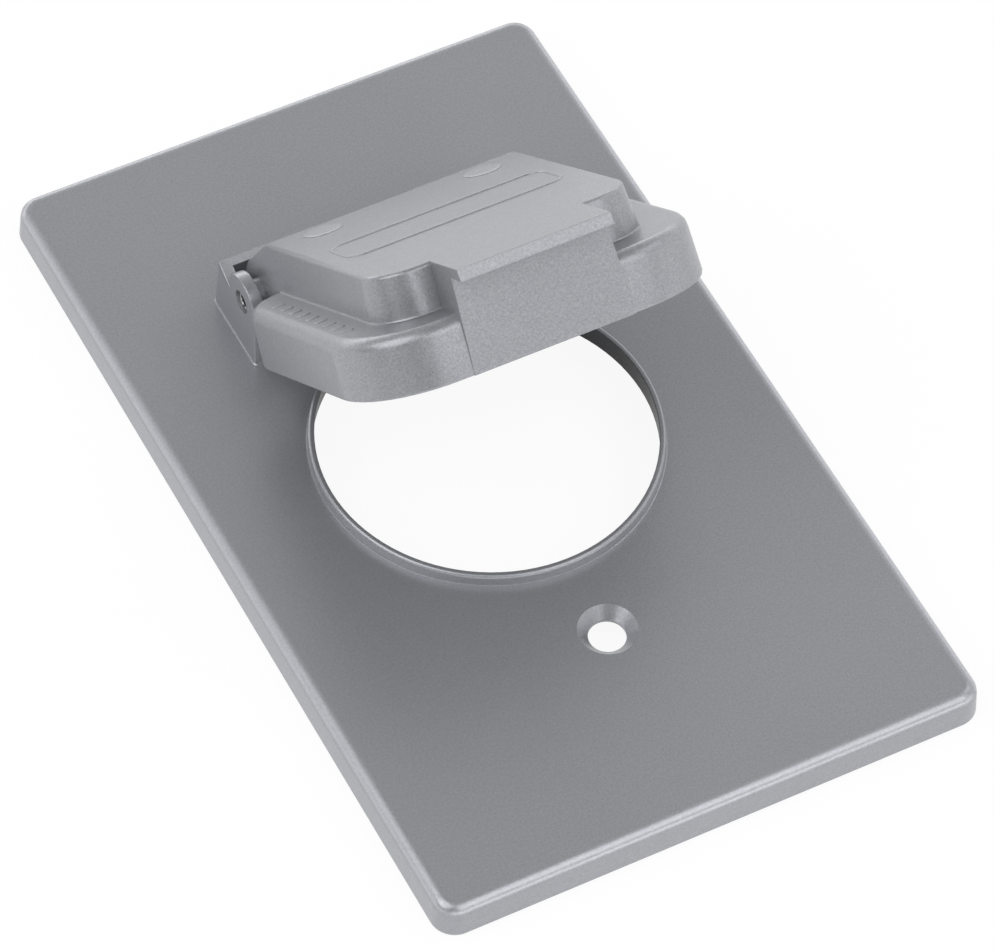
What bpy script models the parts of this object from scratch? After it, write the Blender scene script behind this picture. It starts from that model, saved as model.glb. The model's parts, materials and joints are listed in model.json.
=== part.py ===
"""Weatherproof outlet cover: a die-cast plate with a gasketed flip lid over one round outlet.

The plate lies on its back. X runs across it, Y along it towards the hinge, and Z up out
of its face. The origin is the middle of its back. All lengths are in metres.
"""

import math

import bmesh
import bpy

MM = 0.001

# Plate
PLATE_LENGTH = 114.3 * MM
PLATE_WIDTH = 69.85 * MM
PLATE_HEIGHT = 4.7 * MM
PLATE_CORNER = 3.0 * MM
PLATE_EDGE = 1.5 * MM
PLATE_LEAN = 0.2 * MM
FACE_THICKNESS = 1.7 * MM
RIM_WIDTH = 2.0 * MM

# Round opening and its raised collar
HOLE_RADIUS = 20.2 * MM
HOLE_DRAFT = 0.25 * MM
HOLE_EDGE = 0.15 * MM
COLLAR_WALL = 0.8 * MM
COLLAR_RISE = 1.6 * MM
COLLAR_EDGE = 0.5 * MM

# Countersunk screw holes
SCREW_SPACING = 60.33 * MM
SCREW_HOLE_RADIUS = 2.25 * MM
COUNTERSINK_RADIUS = 3.55 * MM
COUNTERSINK_DEPTH = 1.35 * MM

# Hinge
OPEN_ANGLE = math.radians(41.0)
HINGE_SETBACK = 4.5 * MM
HINGE_ABOVE_RIM = 5.85 * MM
HOOD_RADIUS = 4.3 * MM
HOOD_WALL = 1.4 * MM
HOOD_LIP = 1.5 * MM
BOSS_RADIUS = 2.1 * MM
BOSS_RISE = 0.7 * MM
EAR_THICKNESS = 1.6 * MM
EAR_RADIUS = 3.5 * MM
EAR_FOOT_FRONT = 3.8 * MM
HOUSING_FOOT_BACK = 7.2 * MM
HOUSING_TOP_BACK = 6.3 * MM
HOUSING_WALL = 0.9 * MM
HOUSING_RISE = 8.15 * MM
HOUSING_TOP_FALL = 0.5
SCREW_GANGWAY = 2.4 * MM
PIN_RADIUS = 1.3 * MM
PIN_WALL = 0.45 * MM
PIN_SLOT = 0.5 * MM
PIN_CHAMFER = 0.25 * MM
PIN_RECESS = 0.3 * MM

# Lid, a shallow pan with a dome on top and a finger tab in front
LID_WALL = 1.2 * MM
LID_ROOF = 1.5 * MM
PAN_SIDE_MARGIN = 1.4 * MM
PAN_FRONT_MARGIN = 1.1 * MM
PAN_HEIGHT = 7.22 * MM
PAN_REAR = 6.6 * MM
PAN_CORNER = 10.5 * MM
PAN_REAR_CORNER = 5.2 * MM
PAN_EDGE = 1.5 * MM
WING_WIDTH = 5.45 * MM
DOME_RISE = 5.49 * MM
DOME_LEAN = 0.5 * MM
DOME_FRONT_STEP = 5.1 * MM
DOME_BACK = 6.18 * MM
DOME_CORNER = 5.5 * MM
DOME_EDGE = 0.5 * MM
TAB_WIDTH = 19.2 * MM
TAB_LEAN = 0.6 * MM
TAB_PROUD = 0.1 * MM
LIP_REACH = 3.3 * MM
LIP_SLANT = 0.8 * MM
LIP_THICKNESS = 0.95 * MM
LIP_RAMP = 0.3 * MM
LIP_TIP = 0.2 * MM
RIB_THICKNESS = 1.2 * MM
RIB_COUNT = 3

# Gaskets
LID_GASKET_THICKNESS = 3.2 * MM
PLATE_GASKET_MARGIN = 2.4 * MM
PLATE_GASKET_SLOT = 4.5 * MM

# Small radii of the castings
CAST_EDGE = 0.3 * MM
CAST_FILLET = 0.25 * MM
INNER_FILLET = 0.6 * MM
FOOT_CORNER = 0.4 * MM
SMALLEST_RADIUS = 0.05 * MM

# Clearances
SEAT_GAP = 0.3 * MM
LID_GAP = 0.25 * MM
COLLAR_GAP = 0.2 * MM
SIDE_GAP = 0.25 * MM
PIN_GAP = 0.2 * MM

# How far a body runs into its neighbour before a union, and a cutter past its work
SINK = 0.7 * MM
PAST = 4.0 * MM
WELD_DISTANCE = 0.002 * MM

# Fineness of the curves
CORNER_STEPS = 12
EDGE_STEPS = 4
SMALL_STEPS = 2
HOLE_SEGMENTS = 96
SCREW_SEGMENTS = 40
PIN_SEGMENTS = 32

# Heights and places that follow
RECESS_TOP = PLATE_HEIGHT - FACE_THICKNESS
COLLAR_RADIUS = HOLE_RADIUS + COLLAR_WALL
COLLAR_TOP = PLATE_HEIGHT + COLLAR_RISE
SCREW_Y = SCREW_SPACING / 2
HINGE_Y = COLLAR_RADIUS + HINGE_SETBACK
HINGE_Z = COLLAR_TOP + LID_GAP + HINGE_ABOVE_RIM
HOOD_BORE = HOOD_RADIUS - HOOD_WALL
PIN_BORE = PIN_RADIUS + PIN_GAP
GANGWAY = COUNTERSINK_RADIUS + SCREW_GANGWAY
HOUSING_INNER = HOUSING_TOP_BACK - HOUSING_WALL

# The lid is drawn shut in the hinge's own frame, with its axis as the origin
PAN_HALF = COLLAR_RADIUS + PAN_SIDE_MARGIN
PAN_FRONT = HINGE_Y + COLLAR_RADIUS + PAN_FRONT_MARGIN
RIM_Z = -HINGE_ABOVE_RIM
PAN_TOP = RIM_Z + PAN_HEIGHT
DOME_HALF = PAN_HALF - WING_WIDTH
DOME_FRONT = PAN_FRONT - DOME_FRONT_STEP
DOME_TOP = PAN_TOP + DOME_RISE
TAB_FRONT = PAN_FRONT + TAB_PROUD
REAR_WALL_FRONT = HINGE_SETBACK - COLLAR_GAP
REAR_WALL_BACK = REAR_WALL_FRONT - HOOD_WALL
RIB_LOW = RIM_Z + LID_GASKET_THICKNESS + SEAT_GAP
BOSS_HALF = DOME_HALF + BOSS_RISE
EAR_INNER = BOSS_HALF + SIDE_GAP
EAR_OUTER = EAR_INNER + EAR_THICKNESS


def remove_all():
    """Empties the scene, object by object."""
    for thing in list(bpy.data.objects):
        bpy.data.objects.remove(thing, do_unlink=True)


def arc(centre, radius, start, end, steps):
    """Points of a circle from one angle to another, both ends included."""
    points = []
    for step in range(steps + 1):
        angle = start + (end - start) * step / steps
        points.append((centre[0] + radius * math.cos(angle), centre[1] + radius * math.sin(angle)))
    return points


def corner_arc(centre, radius, start, end, steps):
    """An arc, or just its centre where the corner is sharp."""
    return arc(centre, radius, start, end, steps) if radius else [centre]


def circle(centre, radius, segments):
    """A full circle, with no point given twice."""
    return arc(centre, radius, 0.0, 2 * math.pi, segments)[:-1]


def touch_angle(point, radius, side):
    """Where a line from a point touches a circle round the origin, as an angle."""
    return math.atan2(point[1], point[0]) + side * math.acos(radius / math.hypot(*point))


def rounded_rectangle(half_x, y_low, y_high, low_radius, high_radius):
    """A rectangle with round corners, anticlockwise from above."""
    low = max(low_radius, SMALLEST_RADIUS)
    high = max(high_radius, SMALLEST_RADIUS)
    quarter = math.pi / 2
    points = []
    points += arc((half_x - high, y_high - high), high, 0.0, quarter, CORNER_STEPS)
    points += arc((high - half_x, y_high - high), high, quarter, 2 * quarter, CORNER_STEPS)
    points += arc((low - half_x, y_low + low), low, 2 * quarter, 3 * quarter, CORNER_STEPS)
    points += arc((half_x - low, y_low + low), low, 3 * quarter, 4 * quarter, CORNER_STEPS)
    return points


def solid(name, points, faces, parent=None):
    """An object from points and faces, with its faces turned outwards."""
    mesh = bpy.data.meshes.new(name)
    mesh.from_pydata(points, [], faces)
    work = bmesh.new()
    work.from_mesh(mesh)
    bmesh.ops.recalc_face_normals(work, faces=work.faces)
    work.to_mesh(mesh)
    work.free()
    thing = bpy.data.objects.new(name, mesh)
    bpy.context.scene.collection.objects.link(thing)
    thing.parent = parent
    return thing


def skinned(name, sections, parent=None):
    """A closed body through sections that have the same number of points."""
    count = len(sections[0])
    points = [point for section in sections for point in section]
    faces = [list(range(count)), list(range(len(points) - count, len(points)))]
    for level in range(len(sections) - 1):
        for i in range(count):
            j = (i + 1) % count
            low = level * count
            high = low + count
            faces.append([low + i, low + j, high + j, high + i])
    return solid(name, points, faces, parent)


def lofted(name, rings, parent=None):
    """A body through flat rings, each an outline in X and Y with its height."""
    sections = [[(x, y, z) for x, y in outline] for outline, z in rings]
    return skinned(name, sections, parent)


def extruded(name, profile, x_low, x_high, parent=None):
    """A prism along X over a profile in Y and Z."""
    sections = [[(x, y, z) for y, z in profile] for x in (x_low, x_high)]
    return skinned(name, sections, parent)


def drawn_in(outline, distance):
    """An anticlockwise outline with every side moved in by a distance."""
    moved = []
    count = len(outline)
    for i, (x, y) in enumerate(outline):
        before = outline[i - 1]
        after = outline[(i + 1) % count]
        normals = []
        for start, end in ((before, (x, y)), ((x, y), after)):
            run = (end[0] - start[0], end[1] - start[1])
            length = math.hypot(*run)
            normals.append((-run[1] / length, run[0] / length))
        total = (normals[0][0] + normals[1][0], normals[0][1] + normals[1][1])
        scale = 2 * distance / (total[0] ** 2 + total[1] ** 2)
        moved.append((x + total[0] * scale, y + total[1] * scale))
    return moved


def slab(name, profile, x_low, x_high, edge, parent=None):
    """A prism along X with its two rims rounded."""
    sections = []
    for inset, depth in arc((edge, edge), edge, -math.pi / 2, -math.pi, SMALL_STEPS):
        sections.append([(x_low + depth, y, z) for y, z in drawn_in(profile, inset)])
    for inset, depth in arc((edge, -edge), edge, math.pi, math.pi / 2, SMALL_STEPS):
        sections.append([(x_high + depth, y, z) for y, z in drawn_in(profile, inset)])
    return skinned(name, sections, parent)


def cast_rings(outline_at, z_low, z_high, lean=0.0, foot=0.0, edge=0.0, steps=EDGE_STEPS):
    """Rings of a cast wall: a round foot, a wall that leans in, and a round top edge.

    outline_at gives the outline at a distance in from the wall's foot.
    """
    rings = []
    for inset, rise in corner_arc((foot, foot), foot, -math.pi / 2, -math.pi, SMALL_STEPS):
        rings.append((outline_at(inset), z_low + rise))
    for inset, rise in corner_arc((edge, -edge), edge, math.pi, math.pi / 2, steps):
        rings.append((outline_at(lean + inset), z_high + rise))
    return rings


def combine(target, operation, name, guides):
    """Joins, cuts or trims a body with others, in one go. They are then only guides."""
    group = bpy.data.collections.new(name)
    for guide in guides:
        group.objects.link(guide)
        guide.hide_render = True
        guide.display_type = "WIRE"
    modifier = target.modifiers.new(name, "BOOLEAN")
    modifier.operation = operation
    modifier.solver = "EXACT"
    modifier.operand_type = "COLLECTION"
    modifier.collection = group


def weld(thing):
    """Merges the points that several cuts left on the same spot."""
    modifier = thing.modifiers.new("weld", "WELD")
    modifier.merge_threshold = WELD_DISTANCE


def soften(thing, width):
    """Rounds the sharp edges of a body."""
    bevel = thing.modifiers.new("edges", "BEVEL")
    bevel.width = width
    bevel.segments = SMALL_STEPS
    bevel.limit_method = "ANGLE"
    bevel.use_clamp_overlap = True


def finish(thing, colour, metallic, roughness):
    """Gives a piece its material and smooth shading between sharp edges."""
    material = bpy.data.materials.new(thing.name)
    material.use_nodes = True
    surface = material.node_tree.nodes["Principled BSDF"]
    surface.inputs["Base Color"].default_value = (*colour, 1.0)
    surface.inputs["Metallic"].default_value = metallic
    surface.inputs["Roughness"].default_value = roughness
    thing.data.materials.append(material)
    thing.data.shade_smooth()
    thing.data.set_sharp_from_angle(angle=math.radians(30.0))


def plate_outline(inset, corner=PLATE_CORNER):
    """The plate's outline, drawn in by a distance."""
    half_length = PLATE_LENGTH / 2 - inset
    return rounded_rectangle(
        PLATE_WIDTH / 2 - inset, -half_length, half_length, corner - inset, corner - inset)


def pan_outline(inset):
    """The lid pan's outline, drawn in by a distance."""
    return rounded_rectangle(
        PAN_HALF - inset, inset - PAN_FRONT, -PAN_REAR - inset,
        PAN_CORNER - inset, PAN_REAR_CORNER - inset)


def dome_outline(inset, y_back):
    """The dome's outline at its foot, drawn in by a distance, and open-ended at the back."""
    return rounded_rectangle(
        DOME_HALF - inset, inset - DOME_FRONT, y_back, DOME_CORNER - inset, SMALLEST_RADIUS)


def collar_rings():
    """The raised collar as a solid of rings, from inside the face to its round top edge."""
    fillet = CAST_FILLET
    foot = COLLAR_RADIUS + fillet
    rings = [(circle((0, 0), foot, HOLE_SEGMENTS), PLATE_HEIGHT - SINK)]
    hollow = arc((foot, PLATE_HEIGHT + fillet), fillet, -math.pi / 2, -math.pi, SMALL_STEPS)
    edge = COLLAR_EDGE
    round_top = arc((COLLAR_RADIUS - edge, COLLAR_TOP - edge), edge, 0.0, math.pi / 2, EDGE_STEPS)
    for radius, z in hollow + round_top:
        rings.append((circle((0, 0), radius, HOLE_SEGMENTS), z))
    return rings


def hole_rings():
    """The cutter of the round opening, wider at the back, which rounds the collar's inner edge."""
    edge = HOLE_EDGE
    flare = arc((HOLE_RADIUS + edge, COLLAR_TOP - edge), edge, math.pi, math.pi / 2, SMALL_STEPS)
    slope = HOLE_DRAFT / (COLLAR_TOP - RECESS_TOP)
    back = HOLE_RADIUS + slope * (COLLAR_TOP + PAST)
    levels = [(back, -PAST)] + flare + [(HOLE_RADIUS + edge, COLLAR_TOP + PAST)]
    return [(circle((0, 0), radius, HOLE_SEGMENTS), z) for radius, z in levels]


def screw_rings(y):
    """The cutter of one screw hole: a straight bore under a cone."""
    levels = [
        (SCREW_HOLE_RADIUS, -PAST),
        (SCREW_HOLE_RADIUS, PLATE_HEIGHT - COUNTERSINK_DEPTH),
        (COUNTERSINK_RADIUS, PLATE_HEIGHT),
        (COUNTERSINK_RADIUS, PLATE_HEIGHT + SINK),
    ]
    return [(circle((0, y), radius, SCREW_SEGMENTS), z) for radius, z in levels]


def ear_profile():
    """The side view of a hinge ear: a round end over the pin and a lower, sloping back."""
    front_foot = (-EAR_FOOT_FRONT, PLATE_HEIGHT - HINGE_Z)
    touch = touch_angle(front_foot, EAR_RADIUS, -1) + 2 * math.pi
    top = PLATE_HEIGHT + HOUSING_RISE
    valley = top - HOUSING_TOP_FALL * (HOUSING_TOP_BACK - EAR_RADIUS)
    points = [
        (HINGE_Y - EAR_FOOT_FRONT, PLATE_HEIGHT - SINK),
        (HINGE_Y + HOUSING_FOOT_BACK, PLATE_HEIGHT - SINK),
        (HINGE_Y + HOUSING_FOOT_BACK, PLATE_HEIGHT),
        (HINGE_Y + HOUSING_TOP_BACK, top),
    ]
    start = math.asin((valley - HINGE_Z) / EAR_RADIUS)
    points += arc((HINGE_Y, HINGE_Z), EAR_RADIUS, start, touch, 2 * CORNER_STEPS)
    points.append((HINGE_Y - EAR_FOOT_FRONT, PLATE_HEIGHT))
    return points


def housing_profile():
    """The section of the wall behind the hinge, which stops the lid when it is wide open."""
    inner = HINGE_Y + HOUSING_INNER
    top = PLATE_HEIGHT + HOUSING_RISE
    return [
        (inner, PLATE_HEIGHT - SINK),
        (HINGE_Y + HOUSING_FOOT_BACK, PLATE_HEIGHT - SINK),
        (HINGE_Y + HOUSING_FOOT_BACK, PLATE_HEIGHT),
        (HINGE_Y + HOUSING_TOP_BACK, top),
        (inner, top - HOUSING_TOP_FALL * HOUSING_WALL),
    ]


def foot_rings(x_low, x_high, y_low, y_high):
    """The fillet round the foot of something that stands on the face, as a low plinth."""
    half = (x_high - x_low) / 2
    middle = (x_high + x_low) / 2

    def outline_at(spread):
        corners = rounded_rectangle(
            half + spread, y_low - spread, y_high + spread, FOOT_CORNER + spread, FOOT_CORNER + spread)
        return [(middle + x, y) for x, y in corners]

    rings = [(outline_at(CAST_FILLET), PLATE_HEIGHT - SINK)]
    hollow = arc((CAST_FILLET, CAST_FILLET), CAST_FILLET, -math.pi / 2, -math.pi * 5 / 6, SMALL_STEPS)
    for spread, rise in hollow + [(-CAST_EDGE, CAST_FILLET)]:
        rings.append((outline_at(spread), PLATE_HEIGHT + rise))
    return rings


def hinge_housing():
    """Two ears and the wall behind them, which opens in the middle for the upper screw."""
    bodies = []
    for side, label in ((-1, "left"), (1, "right")):
        ear_x = sorted((side * EAR_INNER, side * EAR_OUTER))
        bodies.append(slab("ear_" + label, ear_profile(), *ear_x, CAST_EDGE))
        wall_x = sorted((side * GANGWAY, side * (EAR_INNER + EAR_THICKNESS / 2)))
        bodies.append(slab("housing_wall_" + label, housing_profile(), *wall_x, CAST_EDGE))
        bodies.append(lofted("ear_foot_" + label, foot_rings(
            *ear_x, HINGE_Y - EAR_FOOT_FRONT, HINGE_Y + HOUSING_FOOT_BACK)))
        bodies.append(lofted("housing_foot_" + label, foot_rings(
            *wall_x, HINGE_Y + HOUSING_INNER, HINGE_Y + HOUSING_FOOT_BACK)))
    return bodies


def plate_cutters():
    """All that is taken out of the plate: its hollow back and its holes."""
    recess = lofted("back_recess", cast_rings(
        lambda inset: plate_outline(RIM_WIDTH + inset), -PAST, RECESS_TOP,
        lean=PLATE_LEAN, edge=INNER_FILLET, steps=SMALL_STEPS))
    opening = lofted("round_opening", hole_rings())
    screws = [lofted("screw_hole_" + label, screw_rings(y))
              for label, y in (("upper", SCREW_Y), ("lower", -SCREW_Y))]
    bore = extruded(
        "ear_bore", circle((HINGE_Y, HINGE_Z), PIN_BORE, PIN_SEGMENTS), -EAR_OUTER - PAST, EAR_OUTER + PAST)
    return [recess, opening, *screws, bore]


def make_cover_plate():
    """The die-cast plate: a drafted shell with a collar, screw holes and the hinge housing."""
    plate = lofted("cover_plate", cast_rings(
        plate_outline, 0.0, PLATE_HEIGHT, lean=PLATE_LEAN, foot=CAST_EDGE, edge=PLATE_EDGE))
    collar = lofted("collar", collar_rings())
    combine(plate, "UNION", "plate_bodies", [collar, *hinge_housing()])
    combine(plate, "DIFFERENCE", "plate_cutters", plate_cutters())
    weld(plate)
    finish(plate, (0.27, 0.27, 0.29), 0.3, 0.45)


def slope_line(radius):
    """The sloping back of the dome, which touches a circle round the hinge axis."""
    angle = touch_angle((-DOME_BACK, DOME_TOP), HOOD_RADIUS, -1)
    low = (radius * math.cos(angle), radius * math.sin(angle))
    reach = 2 * DOME_BACK
    high = (low[0] - reach * math.sin(angle), low[1] + reach * math.cos(angle))
    return angle, low, high


def lid_side_profile():
    """All that lies in front of the lid's sloping back and its round hood."""
    angle, low, high = slope_line(HOOD_RADIUS)
    far = -TAB_FRONT - PAST
    corner = (-REAR_WALL_BACK, RIM_Z)
    below = touch_angle(corner, HOOD_RADIUS, 1)
    ceiling = DOME_TOP + PAST
    floor = RIM_Z - PAST
    points = [(far, floor), (corner[0], floor), corner]
    points += arc((0, 0), HOOD_RADIUS, below, angle, 2 * CORNER_STEPS)
    points += [high, (high[0], ceiling), (far, ceiling)]
    return points


def cavity_side_profile():
    """All that lies under the inner face of the lid's sloping back."""
    low, high = slope_line(HOOD_RADIUS - HOOD_WALL)[1:]
    far = -TAB_FRONT - PAST
    ceiling = DOME_TOP + PAST
    floor = RIM_Z - 2 * PAST
    return [(far, floor), (low[0], floor), low, high, (high[0], ceiling), (far, ceiling)]


def hood_bore_profile():
    """The hollow round the pin: round on top, open below, with a lip left at the back."""
    points = [(-HOOD_BORE, RIM_Z - PAST), (HOOD_RADIUS + PAST, RIM_Z - PAST)]
    points += [(HOOD_RADIUS + PAST, -HOOD_LIP), (HOOD_BORE, -HOOD_LIP)]
    points += arc((0, 0), HOOD_BORE, 0.0, math.pi, 2 * CORNER_STEPS)
    return points


def tab_sections(inset, profile):
    """A body of the tab's width at every height, with its sides drawn in by a distance."""
    lean = TAB_LEAN / (DOME_TOP - RIM_Z)
    half_top = TAB_WIDTH / 2 - inset
    sections = []
    for side in (-1, 1):
        sections.append([(side * (half_top + lean * (DOME_TOP - z)), y, z) for y, z in profile])
    return sections


def tab_profile():
    """The side view of the finger tab, whose lip reaches out in front with a slanting face."""
    tip = -TAB_FRONT - LIP_REACH
    low = DOME_TOP - LIP_THICKNESS
    root = -DOME_FRONT + DOME_CORNER
    return [
        (root, RIM_Z),
        (-TAB_FRONT, RIM_Z),
        (-TAB_FRONT, low - LIP_RAMP),
        (tip, low),
        (tip, low + LIP_TIP),
        (tip + LIP_SLANT, DOME_TOP),
        (root, DOME_TOP),
    ]


def tab_cavity_profile():
    """The side view of the hollow behind the tab's front wall."""
    front = LID_WALL - TAB_FRONT
    back = -DOME_FRONT + DOME_CORNER
    ceiling = DOME_TOP - LID_ROOF
    return [(back, RIM_Z - PAST), (front, RIM_Z - PAST), (front, ceiling), (back, ceiling)]


def cross_rib(y, label, hinge):
    """A rib across the lid that backs the gasket, wide under the wings and narrow in the dome."""
    wing = PAN_HALF - LID_WALL / 2
    wing_top = PAN_TOP - LID_ROOF / 2
    dome_foot = DOME_HALF - LID_WALL / 2
    dome_top = DOME_TOP - LID_ROOF / 2
    right = [(wing, RIB_LOW), (wing, wing_top), (dome_foot, wing_top), (dome_foot - DOME_LEAN, dome_top)]
    left = [(-x, z) for x, z in reversed(right)]
    front = y - RIB_THICKNESS / 2
    sections = [[(x, place, z) for x, z in right + left] for place in (front, front + RIB_THICKNESS)]
    return skinned("cross_rib_" + label, sections, hinge)


def long_rib(hinge):
    """The rib down the middle of the lid, from its rear wall to the tab."""
    rear = -(REAR_WALL_FRONT + REAR_WALL_BACK) / 2
    top = DOME_TOP - LID_ROOF / 2
    front = LID_WALL / 2 - TAB_FRONT
    middle = HOOD_RADIUS - HOOD_WALL / 2
    angle = slope_line(middle)[0]
    rear_top = (middle - rear * math.cos(angle)) / math.sin(angle)
    slope_end = (middle - top * math.sin(angle)) / math.cos(angle)
    profile = [(front, RIB_LOW), (rear, RIB_LOW), (rear, rear_top), (slope_end, top), (front, top)]
    return extruded("long_rib", profile, -RIB_THICKNESS / 2, RIB_THICKNESS / 2, hinge)


def dome_fillet_rings():
    """The hollow fillet where the dome's walls rise from the pan."""
    def outline_at(spread):
        return dome_outline(-spread, -PAN_REAR - PAN_EDGE)

    lean = DOME_LEAN * CAST_FILLET / DOME_RISE
    rings = [(outline_at(CAST_FILLET), PAN_TOP - SINK)]
    for spread, rise in arc((CAST_FILLET, CAST_FILLET), CAST_FILLET, -math.pi / 2, -math.pi, SMALL_STEPS):
        rings.append((outline_at(spread - lean), PAN_TOP + rise))
    return rings


def lid_bodies(hinge):
    """What stands on the pan: the dome with its hood, the tab and the pin bosses."""
    def behind(inset):
        return dome_outline(inset, HOOD_RADIUS + PAST)

    dome = lofted("dome", cast_rings(behind, RIM_Z, PAN_TOP), hinge)
    dome_top = lofted("dome_top", cast_rings(
        behind, PAN_TOP - SINK, DOME_TOP, lean=DOME_LEAN, edge=DOME_EDGE), hinge)
    combine(dome, "UNION", "dome_levels", [dome_top])
    side = extruded("lid_side", lid_side_profile(), -PAN_HALF - PAST, PAN_HALF + PAST, hinge)
    combine(dome, "INTERSECT", "dome_side", [side])
    tab = skinned("tab", tab_sections(0.0, tab_profile()), hinge)
    soften(tab, CAST_EDGE)
    boss = extruded("boss", circle((0, 0), BOSS_RADIUS, PIN_SEGMENTS), -BOSS_HALF, BOSS_HALF, hinge)
    fillet = lofted("dome_fillet", dome_fillet_rings(), hinge)
    return [dome, tab, boss, fillet]


def lid_hollows(hinge):
    """The inside of the lid: the hollows of pan, dome and tab, and the hood's bore."""
    def ahead(inset):
        return dome_outline(LID_WALL + inset, -REAR_WALL_FRONT)

    pan = lofted("pan_hollow", cast_rings(
        lambda inset: pan_outline(LID_WALL + inset), RIM_Z - PAST, PAN_TOP - LID_ROOF,
        edge=INNER_FILLET, steps=SMALL_STEPS), hinge)
    dome = lofted("dome_hollow", cast_rings(ahead, RIM_Z - PAST, PAN_TOP), hinge)
    dome_top = lofted("dome_top_hollow", cast_rings(
        ahead, PAN_TOP - SINK, DOME_TOP - LID_ROOF,
        lean=DOME_LEAN, edge=INNER_FILLET, steps=SMALL_STEPS), hinge)
    combine(dome, "UNION", "hollow_levels", [dome_top])
    side = extruded("hollow_side", cavity_side_profile(), -PAN_HALF, PAN_HALF, hinge)
    combine(dome, "INTERSECT", "hollow_back", [side])
    tab = skinned("tab_hollow", tab_sections(LID_WALL, tab_cavity_profile()), hinge)
    cheek = DOME_HALF - DOME_LEAN - HOOD_WALL
    bore = extruded("hood_bore", hood_bore_profile(), -cheek, cheek, hinge)
    return [pan, dome, tab, bore]


def lid_ribs(hinge):
    """The ribs that stiffen the lid and back its gasket."""
    bay = (DOME_FRONT - REAR_WALL_FRONT) / (RIB_COUNT + 1)
    ribs = [long_rib(hinge)]
    for number in range(1, RIB_COUNT + 1):
        ribs.append(cross_rib(-REAR_WALL_FRONT - bay * number, str(number), hinge))
    return ribs


def lid_holes(hinge):
    """The bore for the pin, and the notch that clears the upper screw."""
    bore = extruded(
        "lid_bore", circle((0, 0), PIN_BORE, PIN_SEGMENTS), -PAN_HALF - PAST, PAN_HALF + PAST, hinge)
    back = HOOD_RADIUS + PAST
    notch = extruded("screw_notch", [
        (PIN_BORE, RIM_Z), (back, RIM_Z), (back, DOME_TOP), (PIN_BORE, DOME_TOP)],
        -GANGWAY, GANGWAY, hinge)
    return [bore, notch]


def make_lid(hinge):
    """The die-cast lid, one piece from the finger tab to the hood over the pin."""
    lid = lofted("lid", cast_rings(
        pan_outline, RIM_Z, PAN_TOP, lean=PLATE_LEAN, foot=CAST_EDGE, edge=PAN_EDGE), hinge)
    combine(lid, "UNION", "lid_bodies", lid_bodies(hinge))
    combine(lid, "DIFFERENCE", "lid_hollows", lid_hollows(hinge))
    combine(lid, "UNION", "lid_ribs", lid_ribs(hinge))
    combine(lid, "DIFFERENCE", "lid_holes", lid_holes(hinge))
    weld(lid)
    finish(lid, (0.29, 0.29, 0.31), 0.3, 0.42)


def make_hinge_pin():
    """The slotted spring pin, rolled from strip, from ear to ear."""
    half = EAR_OUTER - PIN_RECESS
    half_slot = PIN_SLOT / 2 / PIN_RADIUS
    start = half_slot - math.pi / 2
    end = 3 * math.pi / 2 - half_slot
    bore = arc((0, 0), PIN_RADIUS - PIN_WALL, end, start, PIN_SEGMENTS)
    chamfer = PIN_CHAMFER
    sections = []
    for x, shrink in ((-half, chamfer), (chamfer - half, 0.0), (half - chamfer, 0.0), (half, chamfer)):
        strip = arc((0, 0), PIN_RADIUS - shrink / 2, start, end, PIN_SEGMENTS) + bore
        sections.append([(x, y, z) for y, z in strip])
    pin = skinned("hinge_pin", sections)
    pin.location = (0.0, HINGE_Y, HINGE_Z)
    finish(pin, (0.45, 0.45, 0.46), 1.0, 0.35)


def make_plate_gasket():
    """The foam sheet in the back of the plate, open for the outlet and in a slot for its two screws."""
    inset = RIM_WIDTH + PLATE_LEAN + INNER_FILLET + SEAT_GAP
    gasket = lofted("plate_gasket", cast_rings(
        lambda more: plate_outline(inset + more), 0.0, RECESS_TOP - SEAT_GAP))
    slot_end = SCREW_Y + PLATE_GASKET_SLOT
    slot_corner = PLATE_GASKET_SLOT - SMALLEST_RADIUS
    openings = []
    for name, outline in (
            ("gasket_opening", circle((0, 0), HOLE_RADIUS + PLATE_GASKET_MARGIN, HOLE_SEGMENTS)),
            ("gasket_screw_slot", rounded_rectangle(
                PLATE_GASKET_SLOT, -slot_end, slot_end, slot_corner, slot_corner))):
        openings.append(lofted(name, [(outline, -PAST), (outline, RECESS_TOP + PAST)]))
    combine(gasket, "DIFFERENCE", "gasket_openings", openings)
    finish(gasket, (0.03, 0.03, 0.03), 0.0, 0.9)


def make_lid_gasket(hinge):
    """The foam pad in the lid, which the collar presses into when the lid is shut."""
    inset = LID_WALL + SEAT_GAP
    top = RIM_Z + LID_GASKET_THICKNESS
    gasket = lofted("lid_gasket", cast_rings(lambda more: pan_outline(inset + more), RIM_Z, top), hinge)
    back = lofted("gasket_back", cast_rings(
        lambda more: dome_outline(inset + more, -REAR_WALL_FRONT - SEAT_GAP), RIM_Z, top), hinge)
    combine(gasket, "UNION", "gasket_pads", [back])
    finish(gasket, (0.04, 0.04, 0.04), 0.0, 0.9)


def main():
    """Builds every piece of the cover."""
    remove_all()
    make_cover_plate()
    hinge = bpy.data.objects.new("lid_hinge", None)
    bpy.context.scene.collection.objects.link(hinge)
    hinge.location = (0.0, HINGE_Y, HINGE_Z)
    hinge.rotation_euler = (-OPEN_ANGLE, 0.0, 0.0)
    make_lid(hinge)
    make_lid_gasket(hinge)
    make_hinge_pin()
    make_plate_gasket()


main()
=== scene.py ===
"""Weatherproof outlet cover: the finish of its castings, pin and foam, and the studio round it."""

import json
import math

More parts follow.
